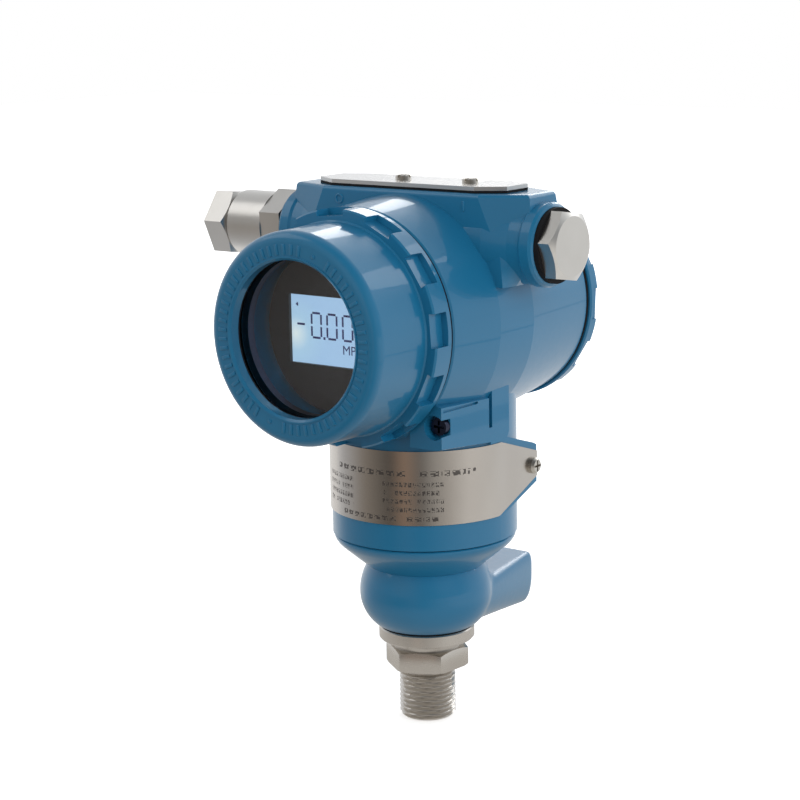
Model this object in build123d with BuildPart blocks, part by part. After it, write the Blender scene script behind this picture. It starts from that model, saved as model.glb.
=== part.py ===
from build123d import *
import os

os.makedirs("parts", exist_ok=True)

# Driving dimensions, in mm. Z is the axis of neck and thread, with Z = 0 at the lower end face.
thread_d = 20.955          # G 1/2 pipe thread
thread_length = 19.6
wrench_flats = 27.0
neck_r = 34.0
neck_bottom_z = 71.85
cover_axis_z = 152.7       # axis of both covers, parallel to Y
cover_flange_r = 41.8
rear_flange_r = 39.6
front_rim_y = -37.3        # end faces of the cast barrel
rear_rim_y = 50.6
block_top_z = 197.8
conduit_drop = 17.8        # from the top of the block down to the axis of the conduit entries
conduit_y = 1.5            # axis of both conduit entries, parallel to X
conduit_z = block_top_z - conduit_drop
conduit_end_x = 56.5
conduit_bore_r = 10.0
band_bottom_z = 81.4
band_top_z = 108.2

# Named clearances
thread_gap = 0.05          # radial, screwed joints drawn as plain cylinders
running_gap = 0.05         # radial, swivel spigot in the neck bore
key_gap = 0.08             # radial, key in its pocket
free_gap = 0.3
seat_gap = 0.05            # pieces laid in a pocket

# Shared places
cover_axis = Axis((0, 0, cover_axis_z), (0, 1, 0))
forward_plane = Plane(origin=(0, 0, cover_axis_z), x_dir=(0, -1, 0), z_dir=(-1, 0, 0))
rearward_plane = Plane(origin=(0, 0, cover_axis_z), x_dir=(0, 1, 0), z_dir=(1, 0, 0))
conduit_axis = Axis((0, conduit_y, conduit_z), (1, 0, 0))
conduit_plane = Plane(origin=(0, conduit_y, conduit_z), x_dir=(1, 0, 0), z_dir=(0, -1, 0))
turning_plane = Plane.XZ   # half sections of the pieces turned about Z

# Process connection: one turned stainless bar, from the thread up to the spigot in the casting
thread_r = thread_d / 2
thread_relief_r = 9.2
hex_top_z = 27.2
hex_turn = -4.4
flange_bottom_z = 30.2
flange_top_z = 35.1
flange_r = 17.8
spigot_r = 14.0
spigot_top_z = 47.0
port_r = 3.0
capsule_r = 9.7
capsule_seat_z = 33.0

with BuildPart() as process_connection:
    with BuildSketch(turning_plane):
        with BuildLine():
            Polyline(
                (port_r, 0.0), (thread_r - 1.0, 0.0), (thread_r, 1.0),
                (thread_r, thread_length - 2.6), (thread_relief_r, thread_length - 1.6),
                (thread_relief_r, thread_length), (12.0, thread_length), (12.0, hex_top_z),
                (12.6, hex_top_z), (13.2, flange_bottom_z), (flange_r - 0.7, flange_bottom_z),
                (flange_r, flange_bottom_z + 0.7), (flange_r, flange_top_z - 0.4),
                (flange_r - 0.4, flange_top_z), (spigot_r, flange_top_z),
                (spigot_r, spigot_top_z), (capsule_r, spigot_top_z),
                (capsule_r, capsule_seat_z), (port_r, capsule_seat_z), (port_r, 0.0),
            )
        make_face()
    revolve(axis=Axis.Z)
    with BuildSketch(Plane.XY.offset(thread_length)):
        RegularPolygon(radius=wrench_flats / 2, side_count=6, major_radius=False, rotation=hex_turn)
        Circle(11.0, mode=Mode.SUBTRACT)
    extrude(amount=hex_top_z - thread_length)
    hex_ends = process_connection.edges().filter_by_position(Axis.Z, thread_length, hex_top_z)
    wide_edges = hex_ends.filter_by(GeomType.LINE).filter_by(Plane.XY)
    chamfer(wide_edges, length=0.5)
process_connection.part.label = "process_connection"
export_step(process_connection.part, "parts/process_connection.step")

# Flat gasket between the flange and the casting
gasket_t = 0.6
with BuildPart() as process_gasket:
    with BuildSketch(Plane.XY.offset(flange_top_z)):
        Circle(flange_r - 0.5)
        Circle(spigot_r + seat_gap, mode=Mode.SUBTRACT)
    extrude(amount=gasket_t)
process_gasket.part.label = "process_gasket"
export_step(process_gasket.part, "parts/process_gasket.step")

# Capsule seal and sensor capsule, stacked in the counterbore of the connection
capsule_seal_t = 0.8
capsule_top_z = 45.0
capsule_bottom_z = capsule_seat_z + capsule_seal_t
with BuildPart() as capsule_seal:
    with BuildSketch(Plane.XY.offset(capsule_seat_z)):
        Circle(capsule_r - seat_gap)
        Circle(7.8, mode=Mode.SUBTRACT)
    extrude(amount=capsule_seal_t)
capsule_seal.part.label = "capsule_seal"
export_step(capsule_seal.part, "parts/capsule_seal.step")

with BuildPart() as sensor_capsule:
    with BuildSketch(Plane.XY.offset(capsule_bottom_z)):
        Circle(capsule_r - seat_gap)
    extrude(amount=capsule_top_z - capsule_bottom_z)
    with BuildSketch(Plane.XY.offset(capsule_bottom_z)):
        Circle(7.4)
    extrude(amount=0.5, mode=Mode.SUBTRACT)
    with BuildSketch(Plane.XY.offset(capsule_top_z)):
        Circle(6.5)
    extrude(amount=1.2)
    with BuildSketch(Plane.XY.offset(capsule_top_z)):
        with PolarLocations(radius=4.0, count=5):
            Circle(0.5)
    extrude(amount=5.0)
    chamfer(sensor_capsule.edges().group_by(Axis.Z)[0].sort_by(SortBy.RADIUS)[-1], length=0.4)
sensor_capsule.part.label = "sensor_capsule"
export_step(sensor_capsule.part, "parts/sensor_capsule.step")

# Sensor casting: round bulb, sharp waist, cone up to the neck, and a blind boss at the rear
casting_bottom_z = flange_top_z + gasket_t
bulb_r = 24.6
bulb_z = 48.0
waist_r = 21.6
waist_z = 59.0
neck_bore_r = 27.0
swivel_r = neck_bore_r - running_gap
swivel_top_z = 89.0
rear_boss_z = 41.3
rear_boss_y = 54.0
rear_boss_root_r = 12.4
rear_boss_draft = 0.2
o_ring_z = 84.0
lock_groove_z = 77.0
lock_groove_half = 2.5

with BuildPart() as sensor_housing:
    with BuildSketch(turning_plane):
        with BuildLine():
            Polyline((0.0, casting_bottom_z), (17.4, casting_bottom_z))
            ThreePointArc((17.4, casting_bottom_z), (22.9, 40.6), (bulb_r, bulb_z))
            ThreePointArc((bulb_r, bulb_z), (24.0, 54.0), (waist_r, waist_z))
            Polyline(
                (waist_r, waist_z), (31.4, 67.4), (32.9, 69.3), (33.4, 70.6),
                (33.4, 71.4), (32.6, neck_bottom_z), (swivel_r, neck_bottom_z),
                (swivel_r, lock_groove_z - lock_groove_half),
                (swivel_r - 1.5, lock_groove_z - lock_groove_half),
                (swivel_r - 1.5, lock_groove_z + lock_groove_half),
                (swivel_r, lock_groove_z + lock_groove_half),
                (swivel_r, o_ring_z - 1.3), (swivel_r - 1.9, o_ring_z - 1.3),
                (swivel_r - 1.9, o_ring_z + 1.3), (swivel_r, o_ring_z + 1.3),
                (swivel_r, swivel_top_z - 0.8), (swivel_r - 0.8, swivel_top_z),
                (0.0, swivel_top_z), (0.0, casting_bottom_z),
            )
        make_face()
    revolve(axis=Axis.Z)
    with BuildSketch(Plane(origin=(0, 0, rear_boss_z), x_dir=(-1, 0, 0), z_dir=(0, 1, 0))):
        Circle(rear_boss_root_r)
    extrude(amount=rear_boss_y, taper=rear_boss_draft)
    boss_rim = sensor_housing.edges().filter_by(GeomType.CIRCLE).sort_by(Axis.Y)[-1]
    fillet(boss_rim, radius=2.0)
    with BuildSketch(Plane.XY):
        Circle(flange_r + 0.6)
    extrude(amount=casting_bottom_z, mode=Mode.SUBTRACT)
    with BuildSketch(turning_plane):
        with BuildLine():
            Polyline(
                (0.0, casting_bottom_z), (spigot_r + thread_gap, casting_bottom_z),
                (spigot_r + thread_gap, 48.0), (17.6, 50.0), (17.6, 58.0), (22.6, 68.0),
                (22.6, swivel_top_z), (0.0, swivel_top_z), (0.0, casting_bottom_z),
            )
        make_face()
    revolve(axis=Axis.Z, mode=Mode.SUBTRACT)
sensor_housing.part.label = "sensor_housing"
export_step(sensor_housing.part, "parts/sensor_housing.step")

# Swivel O-ring in the groove of the spigot
with BuildPart() as neck_seal:
    with BuildSketch(turning_plane):
        with Locations((swivel_r - 0.9, o_ring_z)):
            RectangleRounded(1.8, 2.2, 0.7)
    revolve(axis=Axis.Z)
neck_seal.part.label = "neck_seal"
export_step(neck_seal.part, "parts/neck_seal.step")

# Housing sizes
barrel_middle_r = 43.7
front_bore_r = 35.35
rear_bore_r = 34.0
front_wall_y = -14.0
rear_wall_y = -9.0
lug_x = 36.5
lug_front_x = 35.6
lug_r = 7.9
lug_root_x = 22.0
lug_end_y = 2.1
lug_groove_y = -8.9
pillar_bottom_z = 109.2
pillar_top_z = 130.5
lock_x = 32.5
lock_z = 119.8
lock_depth = 5.1
lock_recess_r = 4.3
lock_shank_r = 2.0
lock_seat_y = front_rim_y + lock_depth
rear_lock_seat_y = rear_rim_y - lock_depth
ear_x = 34.0
ear_y = 23.2
ear_screw_y = 19.7
ear_screw_z = 95.9
small_screw_r = 1.5
plate_pivot = (-8.0, 1.0)
plate_lock = (21.5, 1.0)
plate_screw_r = 1.6
key_x = 27.5
key_y = -3.0
pocket_r = 3.2
pocket_depth = 5.5
pocket_floor_z = block_top_z - pocket_depth
post_ring_r = 29.0
post_r = 3.2
post_front_y = -20.4
wire_hole_y = -20.0
wire_hole_r = 4.6
feed_z = 172.0
feed_r = 4.0
ground_x = -16.0
ground_z = 129.0
set_screw_r = 2.5

# Lock lug of a rim: round boss about the lock screw, flat at its side, with a pillar behind it
with BuildPart() as lock_lug:
    with BuildSketch(Plane.XZ.offset(-front_rim_y)):
        with Locations((lock_x, lock_z)):
            Circle(lug_r)
    with BuildSketch(Plane.XZ.offset(-lug_groove_y)):
        with Locations((lock_x, lock_z - 1.8)):
            Circle(lug_r + 0.9)
    loft()
    with BuildSketch(Plane.XZ.offset(-front_rim_y)):
        with Locations((lock_x, lock_z)):
            Rectangle(lock_x - lug_root_x, 2 * lug_r, align=(Align.MAX, Align.CENTER))
    extrude(amount=front_rim_y - lug_groove_y)
    with BuildSketch(Plane.YZ.offset(lug_root_x)):
        with BuildLine():
            Polyline(
                (lug_end_y, pillar_bottom_z + 4.0), (lug_end_y, pillar_top_z),
                (lug_groove_y, pillar_top_z), (lug_groove_y, pillar_bottom_z),
                (lug_end_y - 4.0, pillar_bottom_z),
            )
            RadiusArc((lug_end_y - 4.0, pillar_bottom_z), (lug_end_y, pillar_bottom_z + 4.0), -4.0)
        make_face()
    extrude(amount=lug_x + lug_r - lug_root_x)
    # Drafted side face
    with BuildSketch(Plane.XY.offset(lock_z)):
        Polygon(
            (lug_front_x, front_rim_y), (lug_x, lug_end_y), (lug_x + lug_r, lug_end_y),
            (lug_x + lug_r, front_rim_y), align=None,
        )
    extrude(amount=2 * lug_r, both=True, mode=Mode.SUBTRACT)
    # Upright groove in front of the pillar, with a round sink at its top, and a low relief line
    groove_z = lock_z + 2.7
    with BuildSketch(Plane.YZ.offset(lug_x)):
        with Locations((lug_groove_y, groove_z)):
            Rectangle(1.8, 14.4)
    extrude(amount=-2.2, mode=Mode.SUBTRACT)
    with BuildSketch(Plane.YZ.offset(lug_x)):
        with Locations((lug_groove_y, groove_z + 7.2)):
            Circle(1.4)
    extrude(amount=-4.0, mode=Mode.SUBTRACT)
    with BuildSketch(Plane.YZ.offset(lug_x)):
        with Locations((front_rim_y + 11.0, lock_z + 5.8)):
            SlotOverall(20.0, 0.9)
    extrude(amount=-1.4, mode=Mode.SUBTRACT)

with BuildPart() as housing:
    # Top block: an elongated hexagon, widest where the conduit entries leave it
    for drop, kink_x, end_x, end_front_y, end_rear_y in (
        (31.8, 44.6, 45.8, -6.4, 9.6),
        (21.8, 43.6, 54.6, -8.6, 11.6),
        (0.0, 33.8, 51.6, -6.6, 9.4),
    ):
        with BuildSketch(Plane.XY.offset(block_top_z - drop)):
            Polygon(
                (-kink_x, -12.8), (kink_x, -12.8), (end_x, end_front_y), (end_x, end_rear_y),
                (kink_x, 18.0), (-kink_x, 18.0), (-end_x, end_rear_y), (-end_x, end_front_y),
                align=None,
            )
    loft(ruled=True)
    fillet(housing.faces().sort_by(Axis.Z)[-1].edges(), radius=1.6)
    # Neck
    with BuildSketch(Plane.XY.offset(neck_bottom_z)):
        Circle(neck_r)
    extrude(amount=cover_axis_z - neck_bottom_z)
    # Barrel, drafted both ways from its thickest middle
    with BuildSketch(forward_plane):
        with BuildLine():
            Polyline(
                (-rear_rim_y, 0.0), (-rear_rim_y, 38.0), (-rear_rim_y + 0.6, 38.6),
                (-8.0, 43.5), (12.8, barrel_middle_r), (-front_rim_y - 0.6, 41.5),
                (-front_rim_y, 41.0), (-front_rim_y, 0.0), (-rear_rim_y, 0.0),
            )
        make_face()
    revolve(axis=cover_axis)
    # Conduit entries with a rounded collar at each end
    with BuildSketch(conduit_plane):
        with BuildLine():
            Polyline(
                (-conduit_end_x, 0.0), (-conduit_end_x, 13.4), (-conduit_end_x + 0.4, 14.2),
                (-conduit_end_x + 1.4, 14.8), (-51.6, 14.8), (-50.6, 14.2), (-46.0, 14.3),
                (-36.0, 15.6), (36.0, 15.6), (46.0, 14.3), (50.6, 14.2), (51.6, 14.8),
                (conduit_end_x - 1.4, 14.8), (conduit_end_x - 0.4, 14.2),
                (conduit_end_x, 13.4), (conduit_end_x, 0.0), (-conduit_end_x, 0.0),
            )
        make_face()
    revolve(axis=conduit_axis)
    # Nameplate ears, flat pads in line with the sides of the neck
    for side in (1, -1):
        with BuildSketch(Plane.YZ.offset(side * (ear_x - 7.0))):
            Polygon(
                (-1.0, 80.4), (6.0, 82.6), (ear_y, 89.3), (ear_y, 103.0), (21.6, 103.9),
                (4.0, 109.4), (-1.0, 109.4), align=None,
            )
        extrude(amount=side * 7.0)
    # Lock lugs below both rims, turned half a turn to one another
    add(lock_lug.part)
    add(lock_lug.part.rotate(Axis.Z, 180).translate((0, rear_rim_y + front_rim_y, 0)))
    # Compartments at the front and the rear of the dividing wall
    with BuildSketch(forward_plane):
        with BuildLine():
            Polyline(
                (-front_rim_y, 0.0), (-front_rim_y, front_bore_r), (24.0, front_bore_r),
                (23.0, 36.5), (-front_wall_y, 36.5), (-front_wall_y, 0.0), (-front_rim_y, 0.0),
            )
        make_face()
    revolve(axis=cover_axis, mode=Mode.SUBTRACT)
    with BuildSketch(forward_plane):
        with BuildLine():
            Polyline(
                (-rear_rim_y, 0.0), (-rear_rim_y, rear_bore_r), (-37.0, rear_bore_r),
                (-36.0, 35.2), (-rear_wall_y, 35.2), (-rear_wall_y, 0.0), (-rear_rim_y, 0.0),
            )
        make_face()
    revolve(axis=cover_axis, mode=Mode.SUBTRACT)
    # Conduit bores
    for side in (1, -1):
        with BuildSketch(Plane.YZ.offset(side * conduit_end_x)):
            with Locations((conduit_y, conduit_z)):
                Circle(conduit_bore_r)
        extrude(amount=-side * 33.0, mode=Mode.SUBTRACT)
    # Swivel bore and the wire passage above it
    with BuildSketch(Plane.XY.offset(neck_bottom_z)):
        Circle(neck_bore_r)
    extrude(amount=20.0, mode=Mode.SUBTRACT)
    with BuildSketch(Plane.XY.offset(neck_bottom_z + 20.0)):
        with Locations((0, wire_hole_y)):
            Circle(wire_hole_r)
    extrude(amount=30.0, mode=Mode.SUBTRACT)
    # Board posts on the wall
    with BuildSketch(Plane(origin=(0, front_wall_y, cover_axis_z), x_dir=(1, 0, 0), z_dir=(0, -1, 0))):
        with PolarLocations(radius=post_ring_r, count=3, start_angle=90):
            Circle(post_r)
    extrude(amount=front_wall_y - post_front_y)
    with BuildSketch(Plane(origin=(0, post_front_y, cover_axis_z), x_dir=(1, 0, 0), z_dir=(0, -1, 0))):
        with PolarLocations(radius=post_ring_r, count=3, start_angle=90):
            Circle(small_screw_r + seat_gap)
    extrude(amount=-6.0, mode=Mode.SUBTRACT)
    # Holes through the dividing wall: feedthrough and ground screw
    with BuildSketch(Plane.XZ.offset(-rear_wall_y)):
        with Locations((0, feed_z)):
            Circle(feed_r + seat_gap)
    extrude(amount=5.0, mode=Mode.SUBTRACT)
    with BuildSketch(Plane.XZ.offset(-rear_wall_y)):
        with Locations((ground_x, ground_z)):
            Circle(2.0 + seat_gap)
    extrude(amount=4.0, mode=Mode.SUBTRACT)
    # Screw holes and key pockets in the top
    with BuildSketch(Plane.XY.offset(block_top_z)):
        with Locations(plate_pivot, plate_lock):
            Circle(plate_screw_r + seat_gap)
    extrude(amount=-7.0, mode=Mode.SUBTRACT)
    with BuildSketch(Plane.XY.offset(block_top_z)):
        with Locations((key_x, key_y), (-key_x, key_y)):
            Circle(pocket_r)
    extrude(amount=pocket_floor_z - block_top_z, mode=Mode.SUBTRACT)
    # Tapped holes in the ears
    for side in (1, -1):
        with BuildSketch(Plane.YZ.offset(side * ear_x)):
            with Locations((ear_screw_y, ear_screw_z)):
                Circle(small_screw_r + seat_gap)
        extrude(amount=-side * 6.0, mode=Mode.SUBTRACT)
    # Recess and hole of each lock screw; the recess breaks out through the side of its lug
    for side, rim_y in ((1, front_rim_y), (-1, rear_rim_y)):
        with BuildSketch(Plane.XZ.offset(-rim_y)):
            with Locations((side * lock_x, lock_z)):
                Circle(lock_recess_r)
        extrude(amount=-side * lock_depth, mode=Mode.SUBTRACT)
        with BuildSketch(Plane.XZ.offset(-rim_y)):
            with Locations((side * lock_x, lock_z)):
                Circle(lock_shank_r + seat_gap)
        extrude(amount=-side * (lock_depth + 12.0), mode=Mode.SUBTRACT)
    # Set screw hole at the rear of the neck
    with BuildSketch(Plane.XZ.offset(-neck_r)):
        with Locations((0, lock_groove_z)):
            Circle(set_screw_r + seat_gap)
    extrude(amount=10.0, mode=Mode.SUBTRACT)
housing.part.label = "housing"
export_step(housing.part, "parts/housing.step")

# Set screw that locks the swivel, its dog point in the groove of the spigot
with BuildPart() as neck_set_screw:
    with BuildSketch(Plane.XZ.offset(-33.2)):
        with Locations((0, lock_groove_z)):
            Circle(set_screw_r)
    extrude(amount=5.4)
    with BuildSketch(Plane.XZ.offset(-27.8)):
        with Locations((0, lock_groove_z)):
            Circle(1.6)
    extrude(amount=1.9)
    with BuildSketch(Plane.XZ.offset(-33.2)):
        with Locations((0, lock_groove_z)):
            RegularPolygon(radius=1.25, side_count=6, major_radius=False)
    extrude(amount=2.5, mode=Mode.SUBTRACT)
neck_set_screw.part.label = "neck_set_screw"
export_step(neck_set_screw.part, "parts/neck_set_screw.step")

# Front cover: window ring, drafted wall, castellated flange and threaded skirt in one casting
seam_t = 1.2
flange_back_f = -front_rim_y + seam_t
flange_front_f = 47.65
side_r = 37.4
rim_side_r = 36.9
face_f = 73.6
mark_depth = 0.35          # the ring that carries the cast marks lies this far behind the window edge
lip_f = 69.3
window_r = 27.1
glass_r = 30.1
pocket_back_f = 57.0
skirt_end_f = 25.5
skirt_inner_r = 31.6
notch_pitch = 12
notch_width = 11.6
notch_floor_r = 39.2
rear_notch_floor_r = 38.2
notch_back_f = 41.0
front_notch_angle = 4.1
rear_notch_angle = -2.5
rim_round = 3.6

with BuildPart() as front_cover:
    with BuildSketch(forward_plane):
        with BuildLine():
            Polyline(
                (face_f - mark_depth, rim_side_r - rim_round), (face_f - mark_depth, window_r + 1.3),
                (face_f, window_r + 1.3), (face_f, window_r + 0.8), (face_f - 0.8, window_r),
                (lip_f, window_r), (lip_f, glass_r),
                (pocket_back_f, glass_r), (pocket_back_f, skirt_inner_r),
                (skirt_end_f, skirt_inner_r), (skirt_end_f, front_bore_r - 0.9),
                (skirt_end_f + 0.8, front_bore_r - thread_gap),
                (flange_back_f, front_bore_r - thread_gap),
                (flange_back_f, cover_flange_r - 0.6), (flange_back_f + 0.6, cover_flange_r),
                (flange_front_f - 0.6, cover_flange_r), (flange_front_f, cover_flange_r - 0.6),
                (flange_front_f, side_r + 0.5), (flange_front_f + 0.5, side_r),
                (face_f - mark_depth - rim_round, rim_side_r),
            )
            RadiusArc(
                (face_f - mark_depth - rim_round, rim_side_r),
                (face_f - mark_depth, rim_side_r - rim_round), rim_round,
            )
        make_face()
    revolve(axis=cover_axis)
    notch_plane = Plane(
        origin=(0, -notch_back_f, cover_axis_z), x_dir=(1, 0, 0), z_dir=(0, -1, 0)
    )
    with BuildSketch(notch_plane):
        with PolarLocations(radius=notch_floor_r + 2.5, count=notch_pitch, start_angle=front_notch_angle):
            Rectangle(5.0, notch_width)
    extrude(amount=flange_front_f - notch_back_f, mode=Mode.SUBTRACT)
front_cover.part.label = "front_cover"
export_step(front_cover.part, "parts/front_cover.step")

# O-ring squeezed between the cover flange and the rim of the barrel
with BuildPart() as front_cover_o_ring:
    with BuildSketch(Plane.XZ.offset(-front_rim_y)):
        with Locations((0, cover_axis_z)):
            Circle(cover_flange_r - 0.9)
            Circle(front_bore_r + free_gap, mode=Mode.SUBTRACT)
    extrude(amount=seam_t)
front_cover_o_ring.part.label = "front_cover_o_ring"
export_step(front_cover_o_ring.part, "parts/front_cover_o_ring.step")

# Window stack behind the lip: gasket, thick glass, screwed retaining ring
window_gasket_t = 0.8
glass_back_f = 60.5
glass_front_f = lip_f - window_gasket_t
with BuildPart() as window_gasket:
    with BuildSketch(Plane.XZ.offset(glass_front_f)):
        with Locations((0, cover_axis_z)):
            Circle(glass_r - seat_gap)
            Circle(window_r, mode=Mode.SUBTRACT)
    extrude(amount=window_gasket_t)
window_gasket.part.label = "window_gasket"
export_step(window_gasket.part, "parts/window_gasket.step")

with BuildPart() as window_glass:
    with BuildSketch(Plane.XZ.offset(glass_back_f)):
        with Locations((0, cover_axis_z)):
            Circle(glass_r - seat_gap)
    extrude(amount=glass_front_f - glass_back_f)
    chamfer(window_glass.edges().filter_by(GeomType.CIRCLE), length=0.3)
window_glass.part.label = "window_glass"
export_step(window_glass.part, "parts/window_glass.step")

with BuildPart() as window_retaining_ring:
    with BuildSketch(Plane.XZ.offset(pocket_back_f + 0.3)):
        with Locations((0, cover_axis_z)):
            Circle(glass_r - seat_gap)
            Circle(27.3, mode=Mode.SUBTRACT)
    extrude(amount=glass_back_f - pocket_back_f - 0.3)
    with BuildSketch(Plane.XZ.offset(pocket_back_f + 0.3)):
        with Locations((0, cover_axis_z)):
            with PolarLocations(radius=28.7, count=4, start_angle=45):
                Circle(0.9)
    extrude(amount=2.0, mode=Mode.SUBTRACT)
window_retaining_ring.part.label = "window_retaining_ring"
export_step(window_retaining_ring.part, "parts/window_retaining_ring.step")

# Rear cover: blind, shallow, with the same castellated flange
rear_flange_g = rear_rim_y + seam_t
rear_flange_end_g = 57.0
rear_side_r = 36.8
rear_face_g = 61.0
rear_wall_t = 2.0
with BuildPart() as rear_cover:
    with BuildSketch(rearward_plane):
        with BuildLine():
            Polyline(
                (rear_face_g, rear_side_r - rim_round), (rear_face_g, 0.0),
                (rear_face_g - rear_wall_t, 0.0), (rear_face_g - rear_wall_t, 30.5),
                (39.5, 30.5), (39.5, rear_bore_r - 0.9), (40.3, rear_bore_r - thread_gap),
                (rear_flange_g, rear_bore_r - thread_gap), (rear_flange_g, rear_flange_r - 0.6),
                (rear_flange_g + 0.6, rear_flange_r), (rear_flange_end_g - 0.6, rear_flange_r),
                (rear_flange_end_g, rear_flange_r - 0.6), (rear_flange_end_g, rear_side_r),
                (rear_face_g - rim_round, rear_side_r),
            )
            RadiusArc(
                (rear_face_g - rim_round, rear_side_r), (rear_face_g, rear_side_r - rim_round),
                rim_round,
            )
        make_face()
    revolve(axis=cover_axis)
    rear_notch_plane = Plane(
        origin=(0, rear_flange_g + 1.8, cover_axis_z), x_dir=(1, 0, 0), z_dir=(0, -1, 0)
    )
    with BuildSketch(rear_notch_plane):
        with PolarLocations(radius=rear_notch_floor_r + 2.5, count=notch_pitch, start_angle=rear_notch_angle):
            Rectangle(5.0, notch_width)
    extrude(amount=-(rear_flange_end_g - rear_flange_g - 1.8), mode=Mode.SUBTRACT)
rear_cover.part.label = "rear_cover"
export_step(rear_cover.part, "parts/rear_cover.step")

with BuildPart() as rear_cover_o_ring:
    with BuildSketch(Plane.XZ.offset(-rear_rim_y)):
        with Locations((0, cover_axis_z)):
            Circle(rear_flange_r - 1.2)
            Circle(rear_bore_r + free_gap, mode=Mode.SUBTRACT)
    extrude(amount=-seam_t)
rear_cover_o_ring.part.label = "rear_cover_o_ring"
export_step(rear_cover_o_ring.part, "parts/rear_cover_o_ring.step")

# Display: round bezel with a window, LCD cell behind it, driver board at its back
bezel_r = 29.5
bezel_face_f = 47.2
bezel_back_f = 41.2
lcd_z = cover_axis_z - 0.55
lcd_window = (39.6, 24.2)
lcd_face_f = 45.9
lcd_cell = (50.0, 30.0)
with BuildPart() as display_bezel:
    with BuildSketch(Plane.XZ.offset(bezel_back_f)):
        with Locations((0, cover_axis_z)):
            Circle(bezel_r)
    extrude(amount=bezel_face_f - bezel_back_f)
    fillet(display_bezel.edges().sort_by(Axis.Y)[0], radius=0.8)
    with BuildSketch(Plane.XZ.offset(bezel_back_f)):
        with Locations((0, lcd_z)):
            Rectangle(lcd_cell[0] + 0.4, lcd_cell[1] + 0.4)
    extrude(amount=lcd_face_f - bezel_back_f, mode=Mode.SUBTRACT)
    with BuildSketch(Plane.XZ.offset(lcd_face_f)):
        with Locations((0, lcd_z)):
            Rectangle(lcd_window[0], lcd_window[1])
    extrude(amount=2.0, mode=Mode.SUBTRACT)
display_bezel.part.label = "display_bezel"
export_step(display_bezel.part, "parts/display_bezel.step")

with BuildPart() as lcd_panel:
    with BuildSketch(Plane.XZ.offset(bezel_back_f + 0.2)):
        with Locations((0, lcd_z)):
            Rectangle(lcd_cell[0], lcd_cell[1])
    extrude(amount=lcd_face_f - bezel_back_f - 0.2)
lcd_panel.part.label = "lcd_panel"
export_step(lcd_panel.part, "parts/lcd_panel.step")

board_t = 1.6
display_board_f = bezel_back_f - board_t
main_board_f = -post_front_y
spacer_plane = Plane(
    origin=(0, -(main_board_f + board_t), cover_axis_z), x_dir=(1, 0, 0), z_dir=(0, -1, 0)
)
with BuildPart() as display_board:
    with BuildSketch(Plane.XZ.offset(display_board_f)):
        with Locations((0, cover_axis_z)):
            Circle(28.0)
    extrude(amount=board_t)
    with BuildSketch(Plane.XZ.offset(display_board_f)):
        with Locations((0, cover_axis_z - 16.0)):
            Rectangle(16.0, 5.0)
        with Locations((-10.0, cover_axis_z + 8.0)):
            Rectangle(9.0, 9.0)
    extrude(amount=-3.0)
display_board.part.label = "display_board"
export_step(display_board.part, "parts/display_board.step")

with BuildPart() as board_spacers:
    with BuildSketch(spacer_plane):
        with PolarLocations(radius=24.5, count=3, start_angle=30):
            RegularPolygon(radius=2.75, side_count=6, major_radius=False)
    extrude(amount=display_board_f - main_board_f - board_t)
board_spacers.part.label = "board_spacers"
export_step(board_spacers.part, "parts/board_spacers.step")

with BuildPart() as main_board:
    with BuildSketch(Plane.XZ.offset(main_board_f)):
        with Locations((0, cover_axis_z)):
            Circle(33.5)
            with PolarLocations(radius=post_ring_r, count=3, start_angle=90):
                Circle(small_screw_r + free_gap, mode=Mode.SUBTRACT)
    extrude(amount=board_t)
    with BuildSketch(Plane.XZ.offset(main_board_f + board_t)):
        with Locations((-6.0, cover_axis_z + 3.0)):
            Rectangle(12.0, 12.0)
        with Locations((12.0, cover_axis_z - 4.0)):
            Rectangle(7.0, 10.0)
        with Locations((0.0, cover_axis_z - 14.0)):
            Rectangle(14.0, 6.0)
    extrude(amount=3.0)
    with BuildSketch(Plane.XZ.offset(main_board_f + board_t)):
        with Locations((11.0, cover_axis_z + 12.0), (-12.0, cover_axis_z - 12.0)):
            Circle(3.5)
    extrude(amount=8.0)
main_board.part.label = "main_board"
export_step(main_board.part, "parts/main_board.step")

with BuildPart() as board_screws:
    with BuildSketch(Plane(origin=(0, -(main_board_f + board_t), cover_axis_z), x_dir=(1, 0, 0), z_dir=(0, -1, 0))):
        with PolarLocations(radius=post_ring_r, count=3, start_angle=90):
            Circle(2.8)
    extrude(amount=2.0)
    with BuildSketch(Plane(origin=(0, -(main_board_f + board_t), cover_axis_z), x_dir=(1, 0, 0), z_dir=(0, -1, 0))):
        with PolarLocations(radius=post_ring_r, count=3, start_angle=90):
            Circle(small_screw_r)
    extrude(amount=-6.0)
board_screws.part.label = "board_screws"
export_step(board_screws.part, "parts/board_screws.step")

# Feedthrough that carries the wires through the dividing wall
with BuildPart() as feedthrough:
    with BuildSketch(Plane.XZ.offset(-rear_wall_y)):
        with Locations((0, feed_z)):
            Circle(feed_r)
    extrude(amount=7.0)
    with BuildSketch(Plane.XZ.offset(-rear_wall_y)):
        with Locations((0, feed_z)):
            Circle(6.0)
    extrude(amount=-2.0)
    with BuildSketch(Plane.XZ.offset(-rear_wall_y - 2.0)):
        with Locations((-2.0, feed_z), (0, feed_z), (2.0, feed_z)):
            Circle(0.5)
    extrude(amount=-4.0)
feedthrough.part.label = "feedthrough"
export_step(feedthrough.part, "parts/feedthrough.step")

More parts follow.
